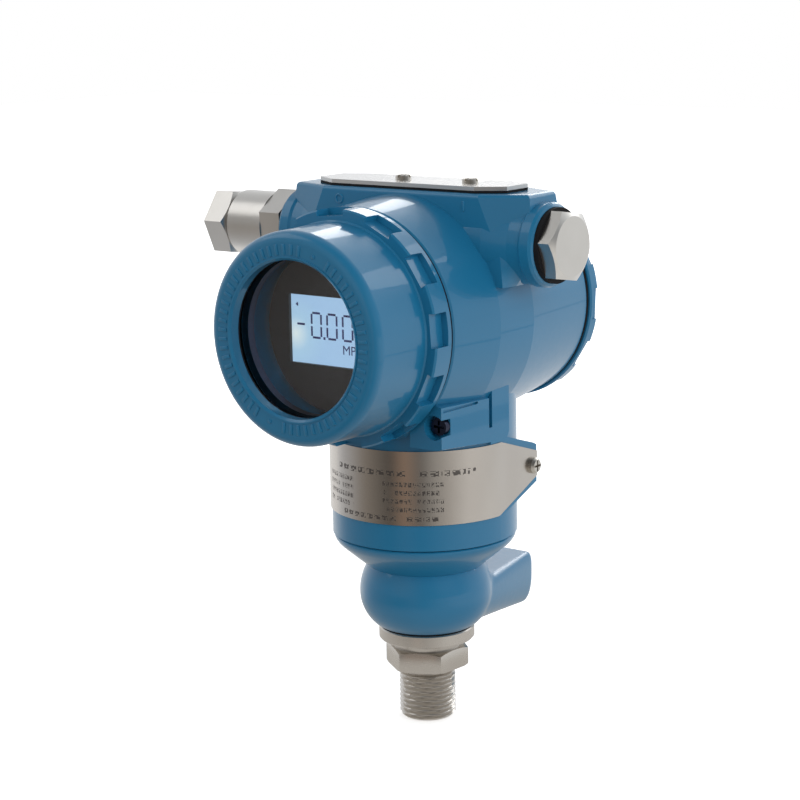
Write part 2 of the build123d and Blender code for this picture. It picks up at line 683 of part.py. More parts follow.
# Terminal block with ribs between three screw terminals
terminal_z = 150.0
terminal_y = 3.0
terminal_pitch = 14.0
with BuildPart() as terminal_block:
    with BuildSketch(Plane.XZ.offset(-rear_wall_y)):
        with Locations((0, terminal_z)):
            Rectangle(48.0, 24.0)
    extrude(amount=rear_wall_y - terminal_y)
    with BuildSketch(Plane.XZ.offset(-terminal_y)):
        with Locations((-1.5 * terminal_pitch, terminal_z), (-0.5 * terminal_pitch, terminal_z)):
            Rectangle(1.6, 20.0)
        with Locations((0.5 * terminal_pitch, terminal_z), (1.5 * terminal_pitch, terminal_z)):
            Rectangle(1.6, 20.0)
    extrude(amount=-5.0)
    with BuildSketch(Plane.XZ.offset(-terminal_y)):
        with Locations((-terminal_pitch, terminal_z), (0, terminal_z), (terminal_pitch, terminal_z)):
            Circle(2.0 + seat_gap)
    extrude(amount=8.0, mode=Mode.SUBTRACT)
terminal_block.part.label = "terminal_block"
export_step(terminal_block.part, "parts/terminal_block.step")

with BuildPart() as terminal_screws:
    with BuildSketch(Plane.XZ.offset(-terminal_y)):
        with Locations((-terminal_pitch, terminal_z), (0, terminal_z), (terminal_pitch, terminal_z)):
            Circle(2.0)
    extrude(amount=7.5)
    with BuildSketch(Plane.XZ.offset(-terminal_y)):
        with Locations((-terminal_pitch, terminal_z), (0, terminal_z), (terminal_pitch, terminal_z)):
            Rectangle(9.0, 9.0)
    extrude(amount=-1.0)
    with BuildSketch(Plane.XZ.offset(-terminal_y - 1.0)):
        with Locations((-terminal_pitch, terminal_z), (0, terminal_z), (terminal_pitch, terminal_z)):
            Circle(3.6)
    extrude(amount=-2.4)
    with BuildSketch(Plane.XZ.offset(-terminal_y - 3.4)):
        with Locations((-terminal_pitch, terminal_z), (0, terminal_z), (terminal_pitch, terminal_z)):
            Rectangle(1.0, 8.0)
    extrude(amount=1.2, mode=Mode.SUBTRACT)
terminal_screws.part.label = "terminal_screws"
export_step(terminal_screws.part, "parts/terminal_screws.step")

with BuildPart() as inner_ground_screw:
    with BuildSketch(Plane.XZ.offset(-rear_wall_y)):
        with Locations((ground_x, ground_z)):
            Circle(2.0)
    extrude(amount=3.8)
    with BuildSketch(Plane.XZ.offset(-rear_wall_y)):
        with Locations((ground_x, ground_z)):
            Circle(4.4)
    extrude(amount=-1.0)
    with BuildSketch(Plane.XZ.offset(-rear_wall_y - 1.0)):
        with Locations((ground_x, ground_z)):
            Circle(3.6)
    extrude(amount=-2.4)
    with BuildSketch(Plane.XZ.offset(-rear_wall_y - 3.4)):
        with Locations((ground_x, ground_z)):
            Rectangle(1.0, 8.0)
            Rectangle(8.0, 1.0)
    extrude(amount=1.1, mode=Mode.SUBTRACT)
inner_ground_screw.part.label = "inner_ground_screw"
export_step(inner_ground_screw.part, "parts/inner_ground_screw.step")

# Conduit plug: hexagon with a turned face, on a flat seal
plug_seal_t = 1.8
plug_hex_x = conduit_end_x + plug_seal_t
plug_face_x = 64.0
plug_flats = 23.0
plug_turned_r = 10.5
plug_corner_r = plug_flats / 3 ** 0.5
with BuildPart() as conduit_plug:
    with BuildSketch(Plane.YZ.offset(plug_hex_x)):
        with Locations((conduit_y, conduit_z)):
            RegularPolygon(radius=plug_flats / 2, side_count=6, major_radius=False, rotation=-9.5)
    extrude(amount=plug_face_x - plug_hex_x)
    with BuildSketch(conduit_plane):
        with BuildLine():
            Polyline(
                (plug_face_x, plug_turned_r), (plug_face_x + 1.0, plug_turned_r),
                (plug_face_x + 1.0, plug_corner_r + 1.0), (plug_face_x - 2.0, plug_corner_r + 1.0),
                (plug_face_x, plug_turned_r),
            )
        make_face()
    revolve(axis=conduit_axis, mode=Mode.SUBTRACT)
    with BuildSketch(Plane.YZ.offset(plug_hex_x)):
        with Locations((conduit_y, conduit_z)):
            Circle(conduit_bore_r - thread_gap)
    extrude(amount=-11.0)
    chamfer(conduit_plug.edges().sort_by(Axis.X)[0], length=0.8)
conduit_plug.part.label = "conduit_plug"
export_step(conduit_plug.part, "parts/conduit_plug.step")

with BuildPart() as plug_seal:
    with BuildSketch(Plane.YZ.offset(conduit_end_x)):
        with Locations((conduit_y, conduit_z)):
            Circle(13.2)
            Circle(conduit_bore_r + free_gap, mode=Mode.SUBTRACT)
    extrude(amount=plug_seal_t)
plug_seal.part.label = "plug_seal"
export_step(plug_seal.part, "parts/plug_seal.step")

# Cable gland: hexagon and barrel of the body, then the compression cap
gland_seal_t = 1.0
gland_hex_x = -conduit_end_x - gland_seal_t
gland_hex_end_x = -67.0
gland_barrel_end_x = -83.8
gland_barrel_r = 12.5
gland_flats = 24.0
gland_bore_r = 9.0
gland_seat_x = -70.0
cable_r = 6.5
cap_x = -84.9
cap_end_x = -94.4
cap_flats = 23.0
cap_turned_r = 11.4
with BuildPart() as gland_body:
    with BuildSketch(Plane.YZ.offset(gland_hex_end_x)):
        with Locations((conduit_y, conduit_z)):
            RegularPolygon(radius=gland_flats / 2, side_count=6, major_radius=False, rotation=34)
    extrude(amount=gland_hex_x - gland_hex_end_x)
    with BuildSketch(conduit_plane):
        with BuildLine():
            Polyline(
                (gland_barrel_end_x - 1.1, gland_bore_r + thread_gap),
                (gland_barrel_end_x - 1.1, 11.2), (gland_barrel_end_x, 11.2),
                (gland_barrel_end_x, gland_barrel_r - 0.6),
                (gland_barrel_end_x + 0.6, gland_barrel_r), (gland_hex_end_x, gland_barrel_r),
                (gland_hex_end_x, 11.0), (gland_hex_x, 11.0),
                (gland_hex_x, conduit_bore_r - thread_gap),
                (-46.0, conduit_bore_r - thread_gap), (-46.0, cable_r + 0.5),
                (gland_seat_x, cable_r + 0.5), (gland_seat_x, gland_bore_r + thread_gap),
                (gland_barrel_end_x - 1.1, gland_bore_r + thread_gap),
            )
        make_face()
    revolve(axis=conduit_axis)
    with BuildSketch(Plane.YZ.offset(gland_hex_end_x)):
        with Locations((conduit_y, conduit_z)):
            Circle(cable_r + 0.5)
    extrude(amount=gland_hex_x - gland_hex_end_x, mode=Mode.SUBTRACT)
gland_body.part.label = "gland_body"
export_step(gland_body.part, "parts/gland_body.step")

with BuildPart() as gland_seal:
    with BuildSketch(Plane.YZ.offset(-conduit_end_x)):
        with Locations((conduit_y, conduit_z)):
            Circle(12.6)
            Circle(conduit_bore_r + free_gap, mode=Mode.SUBTRACT)
    extrude(amount=-gland_seal_t)
gland_seal.part.label = "gland_seal"
export_step(gland_seal.part, "parts/gland_seal.step")

grommet_end_x = -76.6
washer_end_x = -77.6
cap_nose_x = -77.7
with BuildPart() as gland_grommet:
    with BuildSketch(Plane.YZ.offset(grommet_end_x)):
        with Locations((conduit_y, conduit_z)):
            Circle(gland_bore_r - seat_gap)
            Circle(4.0, mode=Mode.SUBTRACT)
    extrude(amount=gland_seat_x - grommet_end_x)
    chamfer(gland_grommet.edges().filter_by(GeomType.CIRCLE).sort_by(SortBy.RADIUS)[-2:], length=0.7)
gland_grommet.part.label = "gland_grommet"
export_step(gland_grommet.part, "parts/gland_grommet.step")

with BuildPart() as gland_washer:
    with BuildSketch(Plane.YZ.offset(washer_end_x)):
        with Locations((conduit_y, conduit_z)):
            Circle(gland_bore_r - seat_gap)
            Circle(cable_r, mode=Mode.SUBTRACT)
    extrude(amount=grommet_end_x - washer_end_x)
gland_washer.part.label = "gland_washer"
export_step(gland_washer.part, "parts/gland_washer.step")

with BuildPart() as gland_cap:
    with BuildSketch(Plane.YZ.offset(cap_end_x)):
        with Locations((conduit_y, conduit_z)):
            RegularPolygon(radius=cap_flats / 2, side_count=6, major_radius=False, rotation=-6)
    extrude(amount=cap_x - cap_end_x)
    with BuildSketch(conduit_plane):
        with BuildLine():
            Polyline(
                (cap_x, cap_turned_r), (cap_x + 1.0, cap_turned_r), (cap_x + 1.0, 15.0),
                (cap_x - 2.1, 15.0), (cap_x, cap_turned_r),
            )
        make_face()
    revolve(axis=conduit_axis, mode=Mode.SUBTRACT)
    with BuildSketch(Plane.YZ.offset(cap_x)):
        with Locations((conduit_y, conduit_z)):
            Circle(gland_bore_r)
    extrude(amount=cap_nose_x - cap_x)
    with BuildSketch(Plane.YZ.offset(cap_end_x)):
        with Locations((conduit_y, conduit_z)):
            Circle(cable_r)
    extrude(amount=cap_nose_x - cap_end_x, mode=Mode.SUBTRACT)
gland_cap.part.label = "gland_cap"
export_step(gland_cap.part, "parts/gland_cap.step")

# Top plate on its gasket, turned about the pivot screw when the other screw is loosened
top_gasket_t = 0.9
plate_bottom_z = block_top_z + top_gasket_t
plate_top_z = plate_bottom_z + 1.4
plate_outline = (
    (-31.5, -11.0), (31.5, -11.0), (41.5, -5.2), (41.5, 7.6), (31.5, 12.0),
    (-31.5, 12.0), (-41.5, 7.6), (-41.5, -5.2),
)
with BuildPart() as top_gasket:
    with BuildSketch(Plane.XY.offset(block_top_z)):
        Polygon(*plate_outline, align=None)
        with Locations(plate_pivot, plate_lock):
            Circle(plate_screw_r + free_gap, mode=Mode.SUBTRACT)
        with Locations((key_x, key_y), (-key_x, key_y)):
            Circle(pocket_r + 0.4, mode=Mode.SUBTRACT)
    extrude(amount=top_gasket_t)
top_gasket.part.label = "top_gasket"
export_step(top_gasket.part, "parts/top_gasket.step")

swing_r = plate_lock[0] - plate_pivot[0]
with BuildPart() as top_plate:
    with BuildSketch(Plane.XY.offset(plate_bottom_z)):
        Polygon(*plate_outline, align=None)
        with Locations(plate_pivot):
            Circle(plate_screw_r + free_gap, mode=Mode.SUBTRACT)
        SlotArc(CenterArc(plate_pivot, swing_r, 0, 27), 2 * (plate_screw_r + free_gap), mode=Mode.SUBTRACT)
    extrude(amount=plate_top_z - plate_bottom_z)
top_plate.part.label = "top_plate"
export_step(top_plate.part, "parts/top_plate.step")

plate_head_t = 1.5
with BuildPart() as top_plate_screws:
    with BuildSketch(Plane.XY.offset(plate_top_z)):
        with Locations(plate_pivot, plate_lock):
            Circle(2.9)
    extrude(amount=plate_head_t)
    chamfer(top_plate_screws.faces().group_by(Axis.Z)[-1].edges(), length=0.4)
    with BuildSketch(Plane.XY.offset(plate_top_z)):
        with Locations(plate_pivot, plate_lock):
            Circle(plate_screw_r)
    extrude(amount=-8.0)
    with BuildSketch(Plane.XY.offset(plate_top_z + plate_head_t)):
        with Locations(plate_pivot, plate_lock):
            Rectangle(0.8, 6.0)
            Rectangle(6.0, 0.8)
    extrude(amount=-0.9, mode=Mode.SUBTRACT)
top_plate_screws.part.label = "top_plate_screws"
export_step(top_plate_screws.part, "parts/top_plate_screws.step")

# Zero and span keys, short pistons in the pockets under the plate
key_sink = 0.2
key_length = 3.9
key_top_z = block_top_z - key_sink
key_bottom_z = key_top_z - key_length
for name, place_x in (("zero_key", key_x), ("span_key", -key_x)):
    with BuildPart() as key:
        with BuildSketch(Plane.XY.offset(key_bottom_z)):
            with Locations((place_x, key_y)):
                Circle(pocket_r - key_gap)
        extrude(amount=key_top_z - key_bottom_z)
        with BuildSketch(Plane.XY.offset(key_top_z)):
            with Locations((place_x, key_y)):
                Circle(1.8)
        extrude(amount=-0.5, mode=Mode.SUBTRACT)
    key.part.label = name
    export_step(key.part, "parts/" + name + ".step")

# Nameplate band round the front of the neck, flat along both ears
band_t = 0.6
band_inner_r = neck_r + seat_gap
band_end_y = 22.7
with BuildPart() as nameplate_band:
    with BuildSketch(Plane.XY.offset(band_bottom_z)):
        Circle(band_inner_r + band_t)
        Circle(band_inner_r, mode=Mode.SUBTRACT)
        with Locations((0, 20.0)):
            Rectangle(80.0, 40.0, mode=Mode.SUBTRACT)
        for side in (1, -1):
            with Locations((side * (band_inner_r + band_t / 2), band_end_y / 2)):
                Rectangle(band_t, band_end_y)
    extrude(amount=band_top_z - band_bottom_z)
    with BuildSketch(Plane.YZ):
        Polygon((0, band_top_z), (25.0, 100.1), (25.0, band_top_z + 1), (0, band_top_z + 1), align=None)
        Polygon((-1.5, band_bottom_z), (25.0, 92.6), (25.0, band_bottom_z - 1), (-1.5, band_bottom_z - 1), align=None)
    extrude(amount=40.0, both=True, mode=Mode.SUBTRACT)
    with BuildSketch(Plane.YZ):
        with Locations((ear_screw_y, ear_screw_z)):
            Circle(small_screw_r + free_gap)
    extrude(amount=40.0, both=True, mode=Mode.SUBTRACT)
nameplate_band.part.label = "nameplate_band"
export_step(nameplate_band.part, "parts/nameplate_band.step")

with BuildPart() as nameplate_screws:
    for side in (1, -1):
        head_x = side * (band_inner_r + band_t)
        with BuildSketch(Plane.YZ.offset(head_x)):
            with Locations((ear_screw_y, ear_screw_z)):
                Circle(3.0)
        extrude(amount=side * 1.3)
        with BuildSketch(Plane.YZ.offset(head_x + side * 1.3)):
            with Locations((ear_screw_y, ear_screw_z)):
                Circle(3.0)
        extrude(amount=side * 0.9, taper=40)
        with BuildSketch(Plane.YZ.offset(head_x)):
            with Locations((ear_screw_y, ear_screw_z)):
                Circle(small_screw_r)
        extrude(amount=-side * 6.0)
        with BuildSketch(Plane.YZ.offset(head_x + side * 2.2)):
            with Locations((ear_screw_y, ear_screw_z)):
                Rectangle(0.8, 4.2)
                Rectangle(4.2, 0.8)
        extrude(amount=-side * 1.2, mode=Mode.SUBTRACT)
nameplate_screws.part.label = "nameplate_screws"
export_step(nameplate_screws.part, "parts/nameplate_screws.step")

# Lock screws of the covers, head in the recess and axis parallel to Y
lock_head_r = 3.1
lock_head_t = 2.4
for name, place_x, seat_y, out in (
    ("front_lock_screw", lock_x, lock_seat_y, 1),
    ("rear_lock_screw", -lock_x, rear_lock_seat_y, -1),
):
    with BuildPart() as lock_screw:
        with BuildSketch(Plane.XZ.offset(-seat_y)):
            with Locations((place_x, lock_z)):
                Circle(lock_head_r)
        extrude(amount=out * lock_head_t)
        with BuildSketch(Plane.XZ.offset(-seat_y)):
            with Locations((place_x, lock_z)):
                Circle(lock_shank_r)
        extrude(amount=-out * 11.0)
        with BuildSketch(Plane.XZ.offset(-seat_y + out * lock_head_t)):
            with Locations((place_x, lock_z)):
                Rectangle(0.9, 4.4)
                Rectangle(4.4, 0.9)
        extrude(amount=-out * 1.2, mode=Mode.SUBTRACT)
    lock_screw.part.label = name
    export_step(lock_screw.part, "parts/" + name + ".step")
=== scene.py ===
import math

import bpy
from mathutils import Matrix, Vector


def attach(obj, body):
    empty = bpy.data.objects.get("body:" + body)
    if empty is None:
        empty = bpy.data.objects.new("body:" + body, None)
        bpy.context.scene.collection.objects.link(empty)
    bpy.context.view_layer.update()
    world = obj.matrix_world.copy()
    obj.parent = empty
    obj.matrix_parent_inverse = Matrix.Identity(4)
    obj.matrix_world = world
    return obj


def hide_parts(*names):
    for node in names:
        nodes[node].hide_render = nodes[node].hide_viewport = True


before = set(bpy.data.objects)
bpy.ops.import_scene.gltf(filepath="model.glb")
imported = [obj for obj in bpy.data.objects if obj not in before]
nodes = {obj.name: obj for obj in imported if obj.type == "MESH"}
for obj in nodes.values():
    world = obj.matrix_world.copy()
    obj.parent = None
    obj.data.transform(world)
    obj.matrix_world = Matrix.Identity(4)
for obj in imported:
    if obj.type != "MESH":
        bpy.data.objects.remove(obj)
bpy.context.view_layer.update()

# The view: a long lens a little above the display cover and to the right of it, with the
# camera rolled by one degree, as in the photograph. Colours are shown plainly.
camera_place = Vector((0.45976, -0.61263, 0.27507))
camera_right = Vector((0.795247, 0.606018, -0.018022))
camera_up = Vector((-0.106293, 0.168625, 0.979932))
camera_back = camera_right.cross(camera_up)
camera_data = bpy.data.cameras.new("photo_camera")
camera_data.lens = 96.34
camera_data.sensor_width = 36.0
camera_data.clip_start = 0.01
camera = bpy.data.objects.new("photo_camera", camera_data)
bpy.context.scene.collection.objects.link(camera)
camera.matrix_world = (
    Matrix.Translation(camera_place)
    @ Matrix((camera_right, camera_up, camera_back)).transposed().to_4x4()
)
bpy.context.scene.camera = camera
bpy.context.scene.view_settings.view_transform = "Standard"


# Studio: a white sweep behind the part and to its right, and a darker room behind the camera
# and to the left. The camera sees plain white, and metal, paint and glass mirror the sweep, the
# edge of the table, the softboxes and the room.
class Reading:
    """One value or colour that varies over a surface, with sums written as on paper."""

    def __init__(self, shading, socket):
        self.shading = shading
        self.socket = socket

    def _maths(self, operation, *values):
        return self.shading.node(
            "ShaderNodeMath", {"operation": operation}, dict(enumerate(values))
        )

    def __add__(self, other):
        return self._maths("ADD", self, other)

    def __radd__(self, other):
        return self._maths("ADD", other, self)

    def __sub__(self, other):
        return self._maths("SUBTRACT", self, other)

    def __rsub__(self, other):
        return self._maths("SUBTRACT", other, self)

    def __mul__(self, other):
        return self._maths("MULTIPLY", self, other)

    def __rmul__(self, other):
        return self._maths("MULTIPLY", other, self)

    def __truediv__(self, other):
        return self._maths("DIVIDE", self, other)

    def __gt__(self, other):
        return self._maths("GREATER_THAN", self, other)

    def __lt__(self, other):
        return self._maths("LESS_THAN", self, other)

    def floor(self):
        return self._maths("FLOOR", self)

    def fraction(self):
        return self._maths("FRACT", self)

    def root(self):
        return self._maths("SQRT", self)

    def sine(self):
        return self._maths("SINE", self)

    def angle_from(self, other):
        return self._maths("ARCTAN2", self, other)

    def either(self, other):
        return self._maths("MAXIMUM", self, other)

    def held(self):
        """The reading kept between 0 and 1."""
        return self._maths("MINIMUM", self.either(0.0), 1.0)


class Shading:
    """Writes readings into one node tree."""

    def __init__(self, tree):
        self.tree = tree

    def node(self, kind, settings=None, values=None, output=0):
        """Adds one node: its settings first, then its values or links, and returns one output."""
        made = self.tree.nodes.new(kind)
        for name, setting in (settings or {}).items():
            if name == "stops":
                ramp = made.color_ramp.elements
                for spare in range(len(setting) - 2):
                    ramp.new(0.5)
                for stop, (at, colour) in zip(ramp, setting):
                    stop.position = at
                    stop.color = (*colour, 1.0)
            else:
                setattr(made, name, setting)
        for name, value in (values or {}).items():
            if isinstance(value, Reading):
                self.tree.links.new(value.socket, made.inputs[name])
            else:
                made.inputs[name].default_value = value
        return Reading(self, made.outputs[output]) if made.outputs else made

    def part(self, vector, letter):
        return self.node("ShaderNodeSeparateXYZ", None, {0: vector}, letter)

    def blend(self, mask, low, high, kind="MIX"):
        """The colour low where the mask is 0 and high where it is 1."""
        ends = {
            6: low if isinstance(low, Reading) else (*low, 1.0),
            7: high if isinstance(high, Reading) else (*high, 1.0),
        }
        settings = {"data_type": "RGBA", "blend_type": kind}
        return self.node("ShaderNodeMix", settings, {0: mask, **ends}, 2)


class Finish(Shading):
    """One procedural material, laid on the pieces that have it."""

    def __init__(self, name):
        self.material = bpy.data.materials.new(name)
        self.material.use_nodes = True
        super().__init__(self.material.node_tree)
        self.shader = self.tree.nodes["Principled BSDF"]
        self.place = self.node("ShaderNodeTexCoord", output="Object")

    def axis(self, letter):
        return self.part(self.place, letter)

    def grain(self, scale, stretch=(1.0, 1.0, 1.0), detail=2.0, roughness=0.5):
        """Noise with scale in spots per metre, stretched by unequal numbers along X, Y and Z."""
        spread = self.node(
            "ShaderNodeMapping", {"vector_type": "POINT"}, {"Vector": self.place, "Scale": stretch}
        )
        return self.node(
            "ShaderNodeTexNoise",
            None,
            {"Vector": spread, "Scale": scale, "Detail": detail, "Roughness": roughness},
        )

    def set(self, **values):
        """Puts a varying reading or a plain value on sockets of the shader."""
        for name, value in values.items():
            socket = self.shader.inputs[name.replace("_", " ")]
            if isinstance(value, Reading):
                self.tree.links.new(value.socket, socket)
            else:
                socket.default_value = value
        return self

    def relief(self, height, depth, strength=1.0):
        """Bump from a reading, with depth in metres."""
        bump = self.node(
            "ShaderNodeBump", None, {"Strength": strength, "Distance": depth, "Height": height}
        )
        self.tree.links.new(bump.socket, self.shader.inputs["Normal"])
        return self

    def on(self, *names):
        """Puts this finish on CAD nodes or on new pieces."""
        for name in names:
            piece = nodes[name] if isinstance(name, str) else name
            piece.data.materials.clear()
            piece.data.materials.append(self.material)
        return self


def heading_of(x, y):
    """Compass direction from the part's axis: 0 is -X, a quarter -Y, a half +X."""
    return y.angle_from(x) / (2 * math.pi) + 0.5


def ring(shading, heading, *stops):
    """Colours round the part by compass direction."""
    return shading.node("ShaderNodeValToRGB", {"stops": stops}, {0: heading})


def table_ring(shading, heading):
    """What lies on and round the table, as metal low on the part mirrors it."""
    return ring(
        shading, heading,
        (0.00, (0.80, 0.82, 0.85)), (0.05, (0.50, 0.51, 0.53)), (0.15, (0.27, 0.24, 0.21)),
        (0.24, (0.09, 0.08, 0.07)), (0.29, (0.32, 0.22, 0.16)), (0.34, (0.16, 0.15, 0.14)),
        (0.42, (0.55, 0.53, 0.50)), (0.50, (0.88, 0.87, 0.85)), (0.60, (0.78, 0.78, 0.77)),
        (0.67, (0.74, 0.75, 0.76)), (0.76, (0.88, 0.89, 0.90)), (0.85, (0.92, 0.92, 0.92)),
    )


world = bpy.data.worlds.new("studio_world")
bpy.context.scene.world = world
world.use_nodes = True
world.node_tree.nodes.clear()
sky = Shading(world.node_tree)
direction = sky.node("ShaderNodeTexCoord", output="Generated")
sky_heading = heading_of(sky.part(direction, "X"), sky.part(direction, "Y"))
sky_height = sky.part(direction, "Z")
walls = ring(
    sky, sky_heading,
    (0.00, (0.90, 0.92, 0.95)), (0.06, (0.60, 0.61, 0.63)), (0.15, (0.36, 0.35, 0.34)),
    (0.30, (0.26, 0.25, 0.24)), (0.40, (0.16, 0.16, 0.16)), (0.52, (0.30, 0.31, 0.33)),
    (0.60, (0.80, 0.83, 0.86)), (0.74, (0.90, 0.93, 0.96)), (0.88, (0.95, 0.97, 1.00)),
)
height_share = sky.node(
    "ShaderNodeValToRGB",
    {"stops": ((0.50, (1.0, 1.0, 1.0)), (0.75, (0.8, 0.8, 0.8)), (0.95, (0.5, 0.5, 0.5)))},
    {0: sky_height * 0.5 + 0.5},
)
upper = sky.blend(1.0, height_share, walls, "MULTIPLY")
skirting = 0.012
room = sky.blend(sky_height < skirting, upper, table_ring(sky, sky_heading))
ambient = sky.node("ShaderNodeBackground", None, {"Color": room, "Strength": 1.0})
white = sky.node("ShaderNodeBackground", None, {"Color": (1.0, 1.0, 1.0, 1.0), "Strength": 1.0})
plain_view = sky.node("ShaderNodeLightPath", output="Is Camera Ray").either(
    sky.node("ShaderNodeLightPath", output="Is Transmission Ray")
)
choose = sky.node("ShaderNodeMixShader", None, {0: plain_view, 1: ambient, 2: white})
sky.node("ShaderNodeOutputWorld", None, {0: choose})

floor_size = 6.0
floor_z = -0.0005
table_edge_x = 0.37
table_edge_width = 0.03
table_edge_start_y = -0.3
bpy.ops.object.select_all(action="DESELECT")
bpy.ops.mesh.primitive_plane_add(size=floor_size, location=(0.0, 0.0, floor_z))
floor = bpy.context.active_object
floor.name = "studio_floor"
table = Finish("studio_floor")
table_x, table_y = table.axis("X"), table.axis("Y")
edge = (table_x > table_edge_x) * (table_x < table_edge_x + table_edge_width)
edge = edge * (table_y > table_edge_start_y)
distance = (table_x * table_x + table_y * table_y).root()
near = (1.0 - (distance - 0.10) / 0.10).held()
table_top = table.blend(near, table_ring(table, heading_of(table_x, table_y)), (0.55, 0.53, 0.50))
mirrored = table.blend(edge * 0.7, table_top, (0.05, 0.05, 0.06))
far = ((distance - 0.25) / 0.5).held()
seen = table.blend(far, (0.50, 0.50, 0.50), (1.0, 1.0, 1.0))
table_camera = table.node("ShaderNodeLightPath", output="Is Camera Ray")
table.set(Base_Color=table.blend(table_camera, (0.0, 0.0, 0.0), (0.93, 0.93, 0.93)), Roughness=0.9)
table.set(Emission_Color=table.blend(table_camera, mirrored, seen), Emission_Strength=1.0)
table.on(floor)

# Lamps: a softbox at the upper left in front, three upright strips behind on the left that
# give the streaks along the top of the barrel, a wide softbox behind, and two fills that no
# surface mirrors.
lamp_target = Vector((0.0, 0.0, 0.13))
for name, place, width, depth, watts, mirrored_too in (
    ("softbox_front", (-0.85, -0.53, 0.95), 0.80, 0.60, 1.4, True),
    ("strip_behind_1", (-0.11, 1.20, 0.74), 0.26, 0.46, 1.05, True),
    ("strip_behind_2", (-0.38, 1.14, 0.74), 0.24, 0.46, 1.55, True),
    ("strip_behind_3", (-0.64, 1.02, 0.74), 0.24, 0.46, 1.25, True),
    ("softbox_behind", (0.34, 1.04, 0.72), 0.60, 0.55, 1.60, True),
    ("fill_right", (1.20, -0.35, 0.65), 1.0, 1.0, 8.0, False),
    ("fill_front", (-0.10, -1.25, 0.55), 1.0, 1.0, 4.5, False),
):
    lamp_data = bpy.data.lights.new(name, "AREA")
    lamp_data.shape = "RECTANGLE"
    lamp_data.size = width
    lamp_data.size_y = depth
    lamp_data.energy = watts
    lamp = bpy.data.objects.new(name, lamp_data)
    bpy.context.scene.collection.objects.link(lamp)
    lamp.location = place
    lamp.rotation_euler = (lamp_target - Vector(place)).to_track_quat("-Z", "Y").to_euler()
    lamp.visible_glossy = mirrored_too

# Castings: the housing, both covers and the sensor housing are die castings under a satin blue
# stoved paint, which pools and thins a little over the rough skin of the metal.
paint_blue = (0.011, 0.160, 0.320)
paint_blue_thin = (0.015, 0.176, 0.345)
paint = Finish("blue_stoved_paint")
cloud = paint.grain(38.0, detail=3.0)
peel = paint.grain(420.0, detail=1.0)
paint.set(Base_Color=paint.blend(cloud, paint_blue, paint_blue_thin))
paint.set(Roughness=0.30 + 0.08 * peel, Coat_Weight=0.6, Coat_Roughness=0.03)
paint.set(Specular_IOR_Level=0.3)
paint.relief(peel + 0.6 * cloud, 0.00003, 0.10)
paint.on("housing", "front_cover", "rear_cover", "sensor_housing")


# Sensor casting: a turned collar above a round bulb with a blind boss at the rear, die cast in
# aluminium and painted with the housing. Bulb and boss run into each other with soft corners, so
# they are joined and remeshed as one skin.
MM = 0.001


def pick(*pieces):
    """Selects these pieces and nothing else, with the last of them active."""
    bpy.ops.object.select_all(action="DESELECT")
    for piece in pieces:
        piece.select_set(True)
    bpy.context.view_layer.objects.active = pieces[-1]


def finish_with(piece, name, kind, **settings):
    """Gives a piece one modifier and applies it."""
    pick(piece)
    modifier = piece.modifiers.new(name, kind)
    for setting, value in settings.items():
        setattr(modifier, setting, value)
    bpy.ops.object.modifier_apply(modifier=name)


def turned(name, outline, steps):
    """A ring turned about Z from its closed half section, as (radius, height) in millimetres."""
    bpy.ops.object.select_all(action="DESELECT")
    bpy.ops.mesh.primitive_circle_add(vertices=len(outline), radius=MM)
    ring_piece = bpy.context.active_object
    ring_piece.name = name
    for vertex, (radius, height) in zip(ring_piece.data.vertices, outline):
        vertex.co = (radius * MM, 0.0, height * MM)
    bpy.ops.object.mode_set(mode="EDIT")
    bpy.ops.mesh.select_all(action="SELECT")
    bpy.ops.mesh.spin(steps=steps, angle=2 * math.pi, center=(0.0, 0.0, 0.0), axis=(0.0, 0.0, 1.0))
    bpy.ops.mesh.select_all(action="SELECT")
    bpy.ops.mesh.remove_doubles(threshold=0.002 * MM)
    bpy.ops.mesh.normals_make_consistent(inside=False)
    bpy.ops.object.mode_set(mode="OBJECT")
    return ring_piece


def arc(centre_r, centre_z, radius, first, last, count):
    """Points of a round stretch of an outline, between two angles in degrees."""
    turns = [math.radians(first + (last - first) * step / count) for step in range(count + 1)]
    return [
        (centre_r + radius * math.cos(turn), centre_z + radius * math.sin(turn)) for turn in turns
    ]


waist_r = 21.6
waist_z = 59.0
casting_bottom_z = 35.7
collar_top_z = 71.85
collar = turned("casting_collar", [
    (waist_r, waist_z), (31.2, 67.2), (32.3, 68.3), (33.1, 69.5), (33.4, 70.3), (33.4, 70.9),
    (33.0, 71.3), (31.6, 71.3), (31.6, collar_top_z), (26.0, collar_top_z), (18.5, waist_z),
], 160)
bulb = turned("casting_bulb", [
    (16.0, casting_bottom_z), *arc(9.1, 48.4, 15.5, -55, 0, 14), *arc(4.4, 48.4, 20.2, 4, 32, 8),
    (20.6, waist_z + 1.6), (16.0, waist_z + 1.6),
], 120)
boss_top_z = 52.6
boss_end_y = 53.9
boss_half = 12.3
boss_end_height = 21.2
boss_end_edge = 3.6
boss_root_half = 23.4
boss_root_height = 15.6
boss_root_y = 4.0
boss_upper_corner = 3.4
boss_lower_corner = 9.0
flange_clearance_r = 18.6
bpy.ops.object.select_all(action="DESELECT")
bpy.ops.mesh.primitive_plane_add(
    size=1.0, rotation=(math.pi / 2, 0.0, 0.0),
    location=(0.0, boss_root_y * MM, (boss_top_z - boss_root_height / 2) * MM),
)
boss = bpy.context.active_object
boss.name = "casting_boss"
boss.scale = (2 * boss_root_half * MM, boss_root_height * MM, 1.0)
bpy.ops.object.transform_apply(location=True, rotation=True, scale=True)
